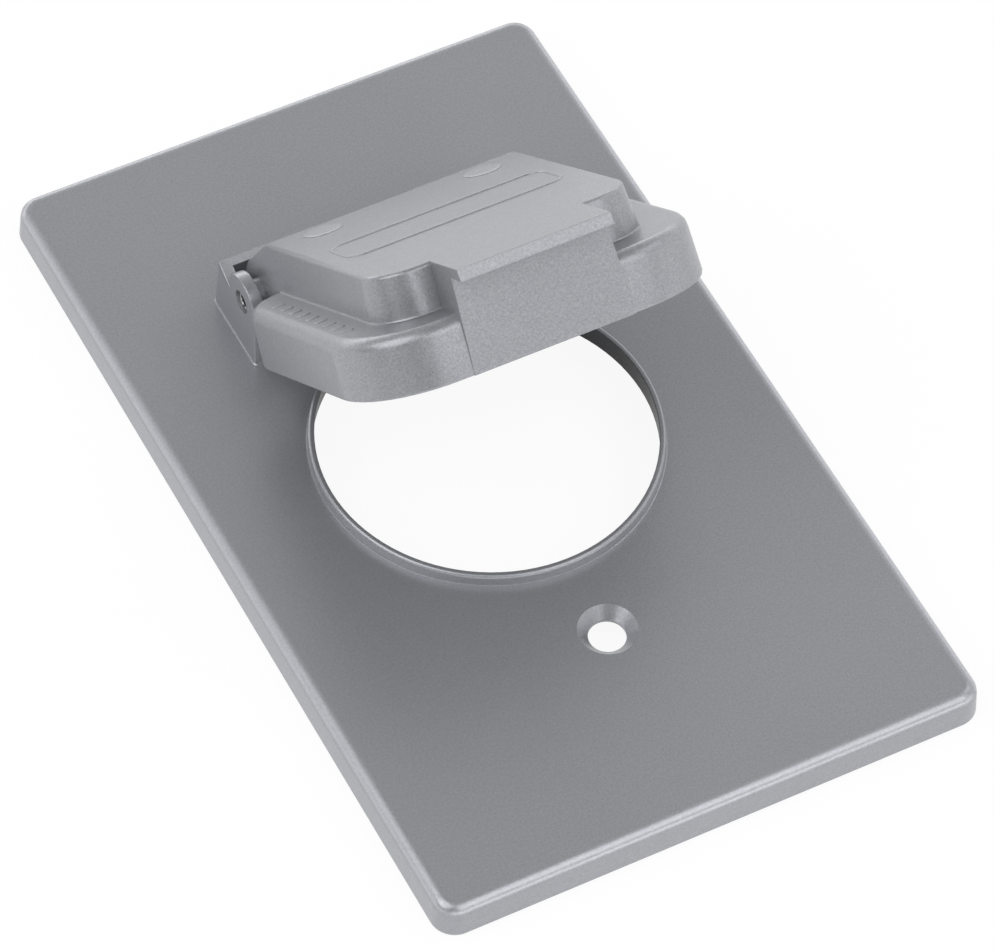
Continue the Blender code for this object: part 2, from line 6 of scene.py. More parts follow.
import bmesh
import bpy
import numpy as np
from mathutils import Euler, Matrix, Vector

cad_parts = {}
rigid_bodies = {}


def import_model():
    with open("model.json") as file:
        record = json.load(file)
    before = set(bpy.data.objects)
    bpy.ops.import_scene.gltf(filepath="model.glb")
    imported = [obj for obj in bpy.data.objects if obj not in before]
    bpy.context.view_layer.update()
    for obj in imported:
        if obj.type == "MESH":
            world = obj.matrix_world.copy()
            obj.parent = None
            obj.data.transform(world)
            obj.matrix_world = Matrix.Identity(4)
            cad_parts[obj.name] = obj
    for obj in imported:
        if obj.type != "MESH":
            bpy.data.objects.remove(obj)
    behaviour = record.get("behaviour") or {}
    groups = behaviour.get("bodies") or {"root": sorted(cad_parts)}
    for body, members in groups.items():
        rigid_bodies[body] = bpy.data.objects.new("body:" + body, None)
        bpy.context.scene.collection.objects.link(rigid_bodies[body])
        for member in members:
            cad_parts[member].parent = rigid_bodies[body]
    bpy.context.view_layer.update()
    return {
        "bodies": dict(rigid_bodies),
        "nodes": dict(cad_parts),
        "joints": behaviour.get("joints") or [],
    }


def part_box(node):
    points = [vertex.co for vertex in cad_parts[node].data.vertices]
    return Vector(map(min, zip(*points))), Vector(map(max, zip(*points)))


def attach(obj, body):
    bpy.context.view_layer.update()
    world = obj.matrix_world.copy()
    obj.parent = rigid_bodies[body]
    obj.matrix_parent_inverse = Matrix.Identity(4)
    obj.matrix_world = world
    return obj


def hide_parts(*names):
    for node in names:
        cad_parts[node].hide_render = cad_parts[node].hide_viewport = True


bl_info = {
    "name": "Weatherproof outlet cover",
    "version": (1, 0, 0),
    "blender": (4, 5, 0),
    "location": "3D View > Sidebar > Outlet Cover",
    "description": "Dresses the packed solids of a die-cast outlet cover and lights them",
    "category": "Object",
}

MM = 0.001
CASTING_MERGE = 1e-6
CASTING_FLAT = math.radians(0.5)
CASTING_SHARP = math.radians(42)
PIECE_MERGE = 1e-7
PIECE_SHARP = math.radians(40)
LONGEST_RAY = 100 * MM
# Nearly all of a noise lies between these
NOISE_SPAN = {"From Min": 0.3, "From Max": 0.7}

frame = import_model()

# The lid is drawn in its hinge's frame: x across, s forward from the axis and h up from it when shut
HINGE = frame["joints"][0]
PIVOT = np.array(HINGE["pos_m"])
OPEN = -math.radians(HINGE["range_deg"][0])


def linear(code):
    """The linear colour of an sRGB hex value."""
    shown = np.array([int(code[i:i + 2], 16) for i in (0, 2, 4)]) / 255
    return tuple(np.where(shown <= 0.04045, shown / 12.92, ((shown + 0.055) / 1.055) ** 2.4))


def colour(code, name, description):
    """A colour that a user may change, with its default as a hex value."""
    return bpy.props.FloatVectorProperty(
        name=name, description=description, subtype="COLOR", size=3, min=0, max=1, default=linear(code))


def length(size, name, description):
    """A length that a user may change, with its default in millimetres."""
    return bpy.props.FloatProperty(
        name=name, description=description, unit="LENGTH", precision=5, min=0, default=size * MM)


def share(value, name, description):
    """A number from nought to one that a user may change."""
    return bpy.props.FloatProperty(
        name=name, description=description, subtype="FACTOR", min=0, max=1, default=value)


def amount(value, name, description):
    """A number that a user may change and that may pass one."""
    return bpy.props.FloatProperty(name=name, description=description, min=0, default=value)


def watts(value, name, description):
    """The power of a lamp."""
    return bpy.props.FloatProperty(name=name, description=description, unit="POWER", min=0, default=value)


def three(values, name, description, **kind):
    """Three numbers that belong together and that a user may change."""
    return bpy.props.FloatVectorProperty(name=name, description=description, default=values, **kind)


class CoatSettings(bpy.types.PropertyGroup):
    """The sprayed coat of plate and lid."""

    tint: colour("9C9DA2", "Coat", "Aluminium-grey coat")
    # Painted light and shade: the plate is drawn lighter and the lid darker than the coat, to make up for
    # light the studio doesn't give them.
    plate_painted_light: amount(1.05, "Plate shade", "How light the plate came out against the coat's colour")
    lid_painted_light: amount(0.95, "Lid shade", "How light the lid, sprayed apart from it, came out")
    plate_grain: amount(1.0, "Plate grain", "How strongly the flake shows on the plate")
    lid_grain: amount(1.6, "Lid grain", "How strongly it shows on the lid")
    metallic: share(0.5, "Metallic", "How much of the coat is aluminium flake")
    roughness: share(0.31, "Roughness", "Roughness of the baked coat")
    flake: length(0.26, "Flake", "Width of a patch of flake, as coarse as it needs to show")
    peel: length(1.1, "Orange peel", "Distance between the swells of the sprayed coat")
    cloud: length(17, "Cloud", "Width of the faint clouds where the spray lies thicker")
    # The next three settings draw painted shade on the wall of the bore: the coat there is darkened and made
    # matt to stand in for the shade inside the hole.
    bore: length(20.55, "Bore", "Radius up to which the wall of the hole is short of spray")
    bore_depth: length(6.2, "Bore depth", "Height up to which it is")
    bore_shade_level: share(0.18, "Bore level", "How light the coat is there")
    # The next three settings draw a painted highlight on the plate's rounded outer edge: lighter coat that
    # stands in for the light the edge catches.
    edge: length(1.3, "Edge", "Width of the plate's rounded edge, where the flake lies bright")
    highlight_height: length(3.7, "Edge height", "Height above the back at which that edge begins")
    highlight_gain: amount(0.32, "Edge gain", "How much lighter the coat is there")


class ReliefSettings(bpy.types.PropertyGroup):
    """The low forms cast on the lid, its finger lip and the pin's edges."""

    frame_width: length(27.4, "Frame width", "Width of the raised frame across the lid")
    frame_depth: length(8.2, "Frame depth", "Depth of the raised frame")
    frame_corner: length(2.0, "Frame corner", "Corner radius of the raised frame")
    frame_place: length(23.6, "Frame place", "Distance of the frame's middle in front of the hinge")
    bead: length(0.55, "Bead", "Width of the frame's bead")
    rise: length(0.14, "Rise", "How far the frame and the pads stand proud")
    pad_radius: length(2.4, "Pad radius", "Radius of the two round pads")
    pad_reach: length(10.4, "Pad reach", "Distance of each pad from the middle")
    pad_place: length(9.6, "Pad place", "Distance of the pads in front of the hinge")
    rib_count: bpy.props.IntProperty(name="Ribs", description="Number of ribs on the wing", min=1, default=9)
    rib_length: length(1.7, "Rib length", "Length of a rib across the wing")
    rib_width: length(0.9, "Rib width", "Width of a rib")
    rib_rise: length(0.12, "Rib rise", "How far a rib stands proud")
    rib_reach: length(19.5, "Rib reach", "Distance of the ribs from the middle")
    rib_start: length(14.0, "First rib", "Distance of the first rib in front of the hinge")
    rib_end: length(36.5, "Last rib", "Distance of the last rib in front of the hinge")
    lip_edge: length(0.15, "Lip edge", "Depth of the finger lip's foremost edge")
    lip_back: length(0.37, "Lip set back", "How far the finger lip's lower edge is set back")
    lip_drop: length(0.55, "Lip drop", "How far that edge hangs lower")
    pin_edge: length(0.12, "Pin edge", "How far the pin's edges are rounded off")


class FoamSettings(bpy.types.PropertyGroup):
    """The foam sheets in the lid and behind the plate."""

    tint: colour("2B2B2D", "Foam", "Black chloroprene foam")
    cell: length(0.35, "Cell", "Width of a foam cell, as coarse as it needs to show")
    dust: length(6.0, "Dust", "Width of a faint cloud of dust")
    edge: length(0.35, "Edge", "Radius of the cut edge")
    front_corner: length(9.0, "Front corner", "Corner radius of the lid's foam in front")
    rear_corner: length(3.7, "Rear corner", "Corner radius of its wings at the back")
    tail_corner: length(0.3, "Tail corner", "Corner radius of the narrow part behind the wings")
    imprint: length(0.3, "Imprint", "Depth of the ring that the collar has pressed in")
    imprint_radius: length(20.6, "Imprint radius", "Radius of that ring")
    imprint_width: length(0.6, "Imprint width", "Half the width of that ring")
    opening: length(22.6, "Opening", "Radius of the plate foam's round opening")
    slot_width: length(9.0, "Slot width", "Width of its slot for the screws")
    slot_length: length(69.33, "Slot length", "Length of that slot")
    outer_corner: length(1.0, "Outer corner", "Corner radius of the plate foam")


class StageSettings(bpy.types.PropertyGroup):
    """Camera, floor and lights."""

    place: three(
        (-0.21662, -0.37627, 0.57553), "Camera place", "Where the camera stands",
        subtype="TRANSLATION", unit="LENGTH")
    turn: three(
        tuple(math.radians(angle) for angle in (36.88757, -2.03720, -27.40639)),
        "Camera turn", "How the camera is turned", subtype="EULER", unit="ROTATION")
    lens: bpy.props.FloatProperty(
        name="Lens", description="Focal length on a 36 mm wide sensor", unit="CAMERA", default=222.03)
    floor_size: length(6000, "Floor", "Side of the floor")
    floor_drop: length(0.3, "Floor drop", "How far the floor lies under the plate")
    paper: colour("FFFFFF", "Paper", "White backdrop paper")
    shadow: share(0.08, "Shadow", "How much of the object's shadow the paper shows")
    left_front: three(
        (0.2, 0.25, 0.0), "Left and front", "Brightness of the left wall, the front wall and below", min=0)
    right_back: three(
        (1.1, 0.9, 0.2), "Right and back", "Brightness of the right wall, the back wall and the ceiling",
        min=0)
    horizon: amount(3.0, "Horizon", "Extra brightness low down in front and behind, where the paper ends")
    horizon_height: share(0.35, "Horizon height", "Steepness of a look at which that brightness has faded")
    left_lamp: watts(7.0, "Left lamp", "Strength of the left soft box")
    front_lamp: watts(3.4, "Front lamp", "Strength of the front soft box")
    right_lamp: watts(0.9, "Right lamp", "Strength of the right soft box")


class CoverSettings(bpy.types.PropertyGroup):
    """All that a user would change."""

    coat: bpy.props.PointerProperty(type=CoatSettings)
    relief: bpy.props.PointerProperty(type=ReliefSettings)
    foam: bpy.props.PointerProperty(type=FoamSettings)
    stage: bpy.props.PointerProperty(type=StageSettings)


def add(tree, kind, settings, links):
    """Adds a node.

    Settings are its properties or its sockets' constant values. Links say what feeds a socket: an output,
    or a node, which stands for its first output.
    """
    made = tree.nodes.new("ShaderNode" + kind)
    for key, value in settings.items():
        if isinstance(key, str) and key in made.bl_rna.properties:
            setattr(made, key, value)
        else:
            made.inputs[key].default_value = value
    for key, source in links.items():
        tree.links.new(source.outputs[0] if isinstance(source, bpy.types.Node) else source, made.inputs[key])
    return made


def new_material(name):
    """An empty node material, its tree, its Principled shader and Object coordinates."""
    material = bpy.data.materials.new(name)
    material.use_nodes = True
    tree = material.node_tree
    shader = tree.nodes["Principled BSDF"]
    place = add(tree, "TexCoord", {}, {}).outputs["Object"]
    return material, tree, shader, place


def feed(tree, shader, **sources):
    """Links nodes to the shader's sockets, whose names have an underscore for each space."""
    for socket, source in sources.items():
        tree.links.new(source.outputs[0], shader.inputs[socket.replace("_", " ")])


def per_metre(size):
    """The scale of a pattern whose cells have this size in metres."""
    return 1 / size


def painted_bore_shade(tree, coat, place, height):
    """Painted shade on the wall of the bore: one on the rest of the piece, the bore's shade level on that
    wall.
    """
    flat = add(tree, "VectorMath", {"operation": "MULTIPLY", 1: (1, 1, 0)}, {0: place})
    radius = add(tree, "VectorMath", {"operation": "LENGTH"}, {0: flat}).outputs["Value"]
    fade = 0.15 * MM
    past = {}
    for socket, (edge, way) in enumerate(((coat.bore, radius), (coat.bore_depth, height))):
        past[socket] = add(tree, "MapRange", {
            "From Min": edge, "From Max": edge + fade, "To Min": coat.bore_shade_level, "To Max": 1.0
        }, {"Value": way})
    return add(tree, "Math", {"operation": "MAXIMUM"}, past)


def painted_edge_highlight(tree, coat, across, along, height):
    """A painted highlight: how much lighter the coat is drawn on the plate's rounded outer edge, from the
    distances to its sides.
    """
    near = {}
    for socket, (rim, way) in enumerate(zip(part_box("cover_plate")[1], (across, along))):
        away = add(tree, "Math", {"operation": "ABSOLUTE"}, {0: way})
        near[socket] = add(tree, "MapRange", {
            "interpolation_type": "SMOOTHSTEP",
            "From Min": rim - coat.edge, "From Max": rim - coat.edge / 2}, {"Value": away})
    nearest = add(tree, "Math", {"operation": "MAXIMUM"}, near)
    fade = 0.2 * MM
    above = add(tree, "MapRange", {
        "From Min": coat.highlight_height, "From Max": coat.highlight_height + fade, "To Min": 0.0,
        "To Max": coat.highlight_gain}, {"Value": height})
    return add(tree, "Math", {"operation": "MULTIPLY"}, {0: nearest, 1: above})


def flaked_coat(name, coat, shade, grain, bored):
    """Aluminium-flake polyester powder on a die casting, sprayed and baked.

    The flake gives the satin sheen and the fine bright and dark mottle, the powder the soft
    orange peel, and the spray the faint clouds. The flake itself is 0.05 mm wide and drawn coarser.
    On the piece with the hole the wall of the bore is drawn dark and matt as painted shade, and the rounded
    outer edge lighter as a painted highlight.
    """
    material, tree, shader, place = new_material(name)
    flake = add(tree, "TexNoise", {
        "Scale": per_metre(coat.flake), "Detail": 2.0, "Roughness": 0.7}, {"Vector": place})
    peel = add(tree, "TexNoise", {"Scale": per_metre(coat.peel), "Detail": 1.0}, {"Vector": place})
    cloud = add(tree, "TexNoise", {"Scale": per_metre(coat.cloud), "Detail": 2.0}, {"Vector": place})
    mottle = add(tree, "MapRange", {
        **NOISE_SPAN, "To Min": 1 - 0.1 * grain, "To Max": 1 + 0.1 * grain}, {"Value": flake})
    # The faint clouds, times the piece's painted light level: the plate drawn lighter, the lid darker
    cloud_and_painted_light = add(tree, "MapRange", {
        **NOISE_SPAN, "To Min": 0.985 * shade, "To Max": 1.015 * shade}, {"Value": cloud})
    level = add(tree, "Math", {"operation": "MULTIPLY"}, {0: mottle, 1: cloud_and_painted_light})
    shader.inputs["Metallic"].default_value = coat.metallic
    if bored:
        # Painted shade in the bore and a painted highlight on the outer edge
        across, along, height = add(tree, "SeparateXYZ", {}, {0: place}).outputs
        painted_shade_level = painted_bore_shade(tree, coat, place, height)
        shaded_metallic = add(tree, "Math", {"operation": "MULTIPLY", 1: coat.metallic}, {0: painted_shade_level})
        # Painted shade on the bore's wall: less metallic there, and an index of refraction near one, so that
        # it mirrors almost nothing
        shaded_ior = add(tree, "Math", {"operation": "MULTIPLY_ADD", 1: 0.5, 2: 1.0}, {0: painted_shade_level})
        feed(tree, shader, Metallic=shaded_metallic, IOR=shaded_ior)
        level = add(tree, "Math", {"operation": "MULTIPLY"}, {0: level, 1: painted_shade_level})
        # A painted highlight on the plate's rounded outer edge
        highlight = painted_edge_highlight(tree, coat, across, along, height)
        level = add(tree, "Math", {"operation": "MULTIPLY_ADD"}, {0: level, 1: highlight, 2: level})
    tint = add(tree, "VectorMath", {"operation": "SCALE", 0: tuple(coat.tint)}, {"Scale": level})
    matt = add(tree, "MapRange", {
        **NOISE_SPAN, "To Min": coat.roughness - 0.015, "To Max": coat.roughness + 0.015}, {"Value": peel})
    swell = add(tree, "Bump", {"Strength": 0.05, "Distance": 0.1 * MM}, {"Height": peel})
    grit = add(tree, "Bump", {"Strength": 0.35 * grain, "Distance": 0.05 * MM}, {
        "Height": flake, "Normal": swell})
    feed(tree, shader, Base_Color=tint, Roughness=matt, Normal=grit)
    return material


def rolled_spring_steel():
    """Spring steel strip, cold rolled and curled into a pin: bright, with fine lines along its length."""
    material, tree, shader, place = new_material("rolled_spring_steel")
    along = add(tree, "Mapping", {"Scale": (0.02, 1.0, 1.0)}, {"Vector": place})
    lines = add(tree, "TexNoise", {"Scale": per_metre(0.1 * MM), "Detail": 2.0}, {"Vector": along})
    matt = add(tree, "MapRange", {**NOISE_SPAN, "To Min": 0.24, "To Max": 0.4}, {"Value": lines})
    drawn = add(tree, "Bump", {"Strength": 0.2, "Distance": 0.02 * MM}, {"Height": lines})
    feed(tree, shader, Roughness=matt, Normal=drawn)
    shader.inputs["Base Color"].default_value = (*linear("BDBDBB"), 1)
    shader.inputs["Metallic"].default_value = 1.0
    return material


def closed_cell_foam(foam):
    """Chloroprene foam, blown with closed cells and split into sheet: matt black, fine pores and dust."""
    material, tree, shader, place = new_material("closed_cell_foam")
    cells = add(tree, "TexVoronoi", {"Scale": per_metre(foam.cell), "Randomness": 1.0}, {"Vector": place})
    pore = add(tree, "MapRange", {
        "From Min": 0.0, "From Max": 0.45, "To Min": 0.45, "To Max": 1.1}, {"Value": cells})
    dust = add(tree, "TexNoise", {"Scale": per_metre(foam.dust), "Detail": 3.0}, {"Vector": place})
    worn = add(tree, "MapRange", {
        "From Min": 0.35, "From Max": 0.75, "To Min": 0.85, "To Max": 1.5}, {"Value": dust})
    level = add(tree, "Math", {"operation": "MULTIPLY"}, {0: pore, 1: worn})
    tint = add(tree, "VectorMath", {"operation": "SCALE", 0: tuple(foam.tint)}, {"Scale": level})
    dent = add(tree, "Bump", {"Strength": 0.6, "Distance": 0.15 * MM}, {"Height": cells})
    feed(tree, shader, Base_Color=tint, Normal=dent)
    shader.inputs["Roughness"].default_value = 0.88
    shader.inputs["Specular IOR Level"].default_value = 0.35
    return material


def backdrop_paper(stage):
    """Matt white studio paper: white to the camera and in reflections, with part of the object's shadow."""
    material = bpy.data.materials.new("backdrop_paper")
    material.use_nodes = True
    tree = material.node_tree
    tree.nodes.clear()
    rays = add(tree, "LightPath", {}, {}).outputs
    seen = add(tree, "Math", {"operation": "MAXIMUM"}, {0: rays["Is Camera Ray"], 1: rays["Is Glossy Ray"]})
    seen = add(tree, "Math", {"operation": "MAXIMUM"}, {0: seen, 1: rays["Is Transmission Ray"]})
    glow_share = add(tree, "Math", {"operation": "MULTIPLY", 1: 1 - stage.shadow}, {0: seen})
    matt = add(tree, "BsdfDiffuse", {"Color": (*stage.paper, 1)}, {})
    glow = add(tree, "Emission", {"Color": (*stage.paper, 1), "Strength": 1.0}, {})
    mixed = add(tree, "MixShader", {}, {0: glow_share, 1: matt, 2: glow})
    add(tree, "OutputMaterial", {}, {"Surface": mixed})
    return material


def studio_walls(stage):
    """A world of soft walls that light the cover. The camera doesn't see them and is shown white.

    In each direction it is as bright as the sum of each of the six walls' brightness times the square
    of the part of the direction that points at it. The paper's ends add the horizon's brightness times
    the square of the part along y, which fades as the direction rises or falls to the horizon's height.
    """
    world = bpy.data.worlds.new("studio_walls")
    world.use_nodes = True
    tree = world.node_tree
    tree.nodes.clear()
    way = add(tree, "TexCoord", {}, {}).outputs["Generated"]
    walls = {}
    for socket, (side, levels) in enumerate((("MAXIMUM", stage.right_back), ("MINIMUM", stage.left_front))):
        part = add(tree, "VectorMath", {"operation": side, 1: (0, 0, 0)}, {0: way})
        squared = add(tree, "VectorMath", {"operation": "MULTIPLY"}, {0: part, 1: part})
        walls[socket] = add(tree, "VectorMath", {
            "operation": "DOT_PRODUCT", 1: levels}, {0: squared}).outputs["Value"]
    wall = add(tree, "Math", {"operation": "ADD"}, walls)
    y, z = add(tree, "SeparateXYZ", {}, {0: way}).outputs[1:]
    ends = add(tree, "Math", {"operation": "MULTIPLY"}, {0: y, 1: y})
    steep = add(tree, "Math", {"operation": "ABSOLUTE"}, {0: z})
    low = add(tree, "MapRange", {
        "interpolation_type": "SMOOTHSTEP", "From Min": 0.0, "From Max": stage.horizon_height,
        "To Min": stage.horizon, "To Max": 0.0}, {"Value": steep})
    lit_ends = add(tree, "Math", {"operation": "MULTIPLY"}, {0: ends, 1: low})
    light = add(tree, "Math", {"operation": "ADD"}, {0: wall, 1: lit_ends})
    rays = add(tree, "LightPath", {}, {}).outputs
    seen = add(tree, "Math", {"operation": "MAXIMUM"}, {0: rays["Is Camera Ray"], 1: light})
    sky = add(tree, "Background", {"Color": (1, 1, 1, 1)}, {"Strength": seen})
    add(tree, "OutputWorld", {}, {"Surface": sky})
    return world


def in_lid(points):
    """World points as x, s and h of the lid: moved to the hinge axis and turned back by the open angle."""
    moved = points - PIVOT
    s = moved[:, 2] * math.sin(OPEN) - moved[:, 1] * math.cos(OPEN)
    h = moved[:, 1] * math.sin(OPEN) + moved[:, 2] * math.cos(OPEN)
    return moved[:, 0], s, h


def from_lid(x, s, h):
    """The lid's x, s and h as world points: turned by the open angle and moved to the hinge axis."""
    y = h * math.sin(OPEN) - s * math.cos(OPEN)
    z = s * math.sin(OPEN) + h * math.cos(OPEN)
    return np.stack(np.broadcast_arrays(x, y, z), -1) + PIVOT


def mesh_points(mesh):
    """The corners of a mesh as an array."""
    flat = np.empty(len(mesh.vertices) * 3)
    mesh.vertices.foreach_get("co", flat)
    return flat.reshape(-1, 3)


def node_points(name):
    """The corners of a CAD node as an array."""
    return mesh_points(frame["nodes"][name].data)


def surface(name, points, wraps=(True, True)):
    """An object over a grid of points (rows, columns, 3): a cell is a face, a wrapped side closes."""
    rows, columns = points.shape[:2]
    index = np.arange(rows * columns).reshape(rows, columns)
    for axis, wrapped in enumerate(wraps):
        if wrapped:
            index = np.concatenate([index, index.take([0], axis)], axis)
    quads = np.stack([index[:-1, :-1], index[:-1, 1:], index[1:, 1:], index[1:, :-1]], -1).reshape(-1, 4)
    mesh = bpy.data.meshes.new(name)
    mesh.from_pydata(points.reshape(-1, 3), [], quads.tolist())
    work = bmesh.new()
    work.from_mesh(mesh)
    bmesh.ops.remove_doubles(work, verts=work.verts, dist=PIECE_MERGE)
    bmesh.ops.recalc_face_normals(work, faces=work.faces)
    work.to_mesh(mesh)
    work.free()
    made = bpy.data.objects.new(name, mesh)
    bpy.context.scene.collection.objects.link(made)
    made.data.shade_smooth()
    made.data.set_sharp_from_angle(angle=PIECE_SHARP)
    return made


def rounded_path(half_x, half_y, corner, steps):
    """A rounded rectangle: at each angle, the corner's centre plus the corner radius along that angle.

    Returns the points and their outward directions.
    """
    quarter = np.linspace(0, math.pi / 2, steps)
    angle = (quarter[None, :] + np.arange(4)[:, None] * math.pi / 2).ravel()
    out = np.stack([np.cos(angle), np.sin(angle)], -1)
    sign = np.repeat([[1, 1], [-1, 1], [-1, -1], [1, -1]], steps, 0)
    return sign * (np.array([half_x, half_y]) - corner) + corner * out, out


def bead(name, path, out, half_width, rise, sink, place):
    """A low bead along a closed path.

    Across the path the section goes round half an ellipse as high as the rise and, below it, half an
    ellipse as deep as the sink, both as wide as the bead.
    """
    turn = np.linspace(0, 2 * math.pi, 17)[:-1]
    across = half_width * np.cos(turn)
    up = np.where(np.sin(turn) > 0, rise, sink) * np.sin(turn)
    flat = path[:, None, :] + out[:, None, :] * across[None, :, None]
    return surface(name, place(flat[..., 0], flat[..., 1], np.broadcast_to(up, flat.shape[:2])))


def mound(name, outline, rise, sink, place):
    """A low pad of rings, each the outline times a share: a flat crown, round shoulders and a sunk foot."""
    shrink = np.array([0, 0.35, 0.7, 0.86, 0.95, 1, 1, 0])
    level = np.array([1, 1, 1, 0.93, 0.7, 0.3, 0, 0]) * rise
    level[-2:] = -sink
    flat = outline[None, :, :] * shrink[:, None, None]
    up = np.broadcast_to(level[:, None], flat.shape[:2])
    return surface(name, place(flat[..., 0], flat[..., 1], up), (False, True))


def box_distance(x, y, half_x, half_y, corner):
    """Distance to a rounded box, negative inside: the excess over the inner box, less the corner radius."""
    dx = np.abs(x) - (half_x - corner)
    dy = np.abs(y) - (half_y - corner)
    beyond = np.hypot(np.maximum(dx, 0), np.maximum(dy, 0))
    return beyond + np.minimum(np.maximum(dx, dy), 0) - corner


def reach(distance, angle):
    """How far each ray from the origin runs to where a distance function is nought, found by halving."""
    low = np.zeros_like(angle)
    high = np.full_like(angle, LONGEST_RAY)
    for _ in range(40):
        middle = (low + high) / 2
        inside = distance(middle * np.cos(angle), middle * np.sin(angle)) < 0
        low = np.where(inside, middle, low)
        high = np.where(inside, high, middle)
    return low


def sheet_section(thickness, edge, steps):
    """The rim of a cut sheet, from below to above: a quarter circle, a straight side, a quarter circle."""
    turn = np.linspace(0, math.pi / 2, steps)
    inset = edge * (1 - np.sin(turn))
    level = edge * (1 - np.cos(turn))
    return np.concatenate([inset, inset[::-1]]), np.concatenate([level, thickness - level[::-1]])


def dress(made, material, body):
    """Gives a finished piece its material and its body."""
    made.data.materials.clear()
    made.data.materials.append(material)
    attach(made, body)


def smooth_casting(name, node, material, body, reshape=None):
    """A copy of a CAD node with its points merged, shaded smooth round its small radii, stands for the node.

    Flat faces are joined and keep their own direction, so that only the radii between them shade from one
    to the other. A function may move its points.
    """
    work = bmesh.new()
    work.from_mesh(frame["nodes"][node].data)
    bmesh.ops.remove_doubles(work, verts=work.verts, dist=CASTING_MERGE)
    bmesh.ops.dissolve_limit(work, verts=work.verts, edges=work.edges, angle_limit=CASTING_FLAT)
    mesh = bpy.data.meshes.new(name)
    work.to_mesh(mesh)
    work.free()
    mesh.attributes.remove(mesh.attributes["custom_normal"])
    if reshape:
        mesh.vertices.foreach_set("co", reshape(mesh_points(mesh)).ravel())
    mesh.shade_smooth()
    mesh.set_sharp_from_angle(angle=CASTING_SHARP)
    made = bpy.data.objects.new(name, mesh)
    bpy.context.scene.collection.objects.link(made)
    even = made.modifiers.new("flat_faces", "WEIGHTED_NORMAL")
    even.keep_sharp = True
    even.weight = 100
    dress(made, material, body)
    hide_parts(node)
    return made


class CoverOperator(bpy.types.Operator):
    """What all operators of the cover share."""

    bl_options = {"REGISTER", "UNDO"}


class COVER_OT_plate(CoverOperator):
    """Coats the cast plate"""

    bl_idname = "outlet_cover.plate"
    bl_label = "Plate"

    def execute(self, context):
        coat = context.scene.outlet_cover.coat
        finish = flaked_coat("flaked_coat_on_plate", coat, coat.plate_painted_light, coat.plate_grain, True)
        smooth_casting("plate_casting", "cover_plate", finish, "base")
        return {"FINISHED"}


class COVER_OT_lid(CoverOperator):
    """Coats the cast lid and adds the low forms on top of it"""

    bl_idname = "outlet_cover.lid"
    bl_label = "Lid"

    def execute(self, context):
        relief = context.scene.outlet_cover.relief
        coat = context.scene.outlet_cover.coat
        finish = flaked_coat("flaked_coat_on_lid", coat, coat.lid_painted_light, coat.lid_grain, False)

        def hang_lip(points):
            """Sets the foremost edge, the finger lip's, back and lower, so that its face looks forward."""
            across, ahead, up = in_lid(points)
            tip = ahead > ahead.max() - relief.lip_edge
            return from_lid(across, ahead - relief.lip_back * tip, up - relief.lip_drop * tip)

        smooth_casting("lid_casting", "lid", finish, "flap", hang_lip)
        x, _, h = in_lid(node_points("lid"))
        crown = h.max()
        wing = h[np.abs(x) > relief.rib_reach].max()
        sink = relief.rise

        def on_crown(middle_x, middle_s):
            return lambda across, ahead, up: from_lid(middle_x + across, middle_s + ahead, crown + up)

        def on_wing(middle_s):
            return lambda across, ahead, up: from_lid(across - relief.rib_reach, middle_s + ahead, wing + up)

        path, out = rounded_path(relief.frame_width / 2, relief.frame_depth / 2, relief.frame_corner, 12)
        pieces = [bead(
            "lid_frame", path, out, relief.bead / 2, relief.rise, sink, on_crown(0, relief.frame_place))]
        disc = rounded_path(relief.pad_radius, relief.pad_radius, relief.pad_radius, 12)[0]
        for side, label in ((-1, "left"), (1, "right")):
            pieces.append(mound(
                "lid_pad_" + label, disc, relief.rise, sink,
                on_crown(side * relief.pad_reach, relief.pad_place)))
        bar = rounded_path(relief.rib_length / 2, relief.rib_width / 2, relief.rib_width / 2.2, 6)[0]
        for number, ahead in enumerate(np.linspace(relief.rib_start, relief.rib_end, relief.rib_count), 1):
            pieces.append(mound(f"wing_rib_{number}", bar, relief.rib_rise, sink, on_wing(ahead)))
        for piece in pieces:
            dress(piece, finish, "flap")
        return {"FINISHED"}


class COVER_OT_pin(CoverOperator):
    """Gives the hinge pin its steel"""

    bl_idname = "outlet_cover.pin"
    bl_label = "Hinge pin"

    def execute(self, context):
        pin = smooth_casting("spring_pin", "hinge_pin", rolled_spring_steel(), "base")
        tumbled = pin.modifiers.new("tumbled_edges", "BEVEL")
        tumbled.width = context.scene.outlet_cover.relief.pin_edge
        tumbled.segments = 3
        tumbled.angle_limit = CASTING_SHARP
        # The edges are rounded first, and the faces' directions weighed after it
        pin.modifiers.move(1, 0)
        return {"FINISHED"}


